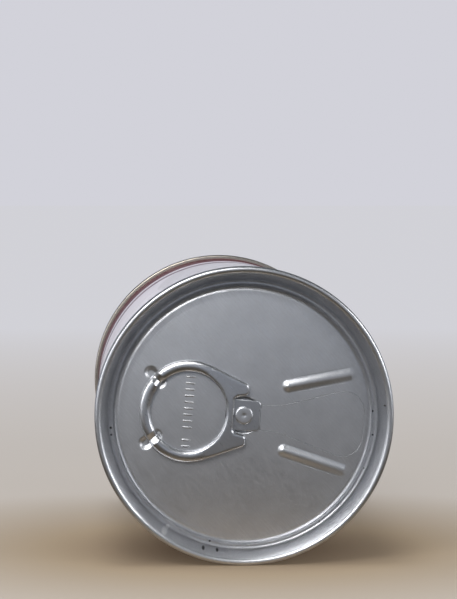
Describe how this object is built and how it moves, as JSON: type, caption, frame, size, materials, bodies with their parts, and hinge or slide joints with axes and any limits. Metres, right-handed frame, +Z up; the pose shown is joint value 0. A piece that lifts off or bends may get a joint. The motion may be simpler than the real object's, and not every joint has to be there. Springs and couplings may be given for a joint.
{
  "type": "drinks can",
  "caption": "Full steel drinks can lying on its side, with seamed ends, a scored tear panel and a riveted ring-pull tab.",
  "frame": {"origin": "under the middle of the can, on the surface it lies on", "axes": "+Y along the can's axis from the opening end to the base, +X across the can, +Z up; the opening end faces -Y"},
  "size_m": [0.0684, 0.1222, 0.0682],
  "materials": {
    "enamelled_body": "glossy white enamel with a maroon band and a thin line near each end",
    "aluminium_end": "satin rolled aluminium",
    "aluminium_tab": "bright stamped aluminium",
    "lacquered_base": "pale gold lacquer on tinned steel"
  },
  "bodies": {
    "root": {"body": "enamelled_body", "top_end": "aluminium_end", "pull_tab": "aluminium_tab", "bottom_end": "lacquered_base"}
  },
  "joints": []
}
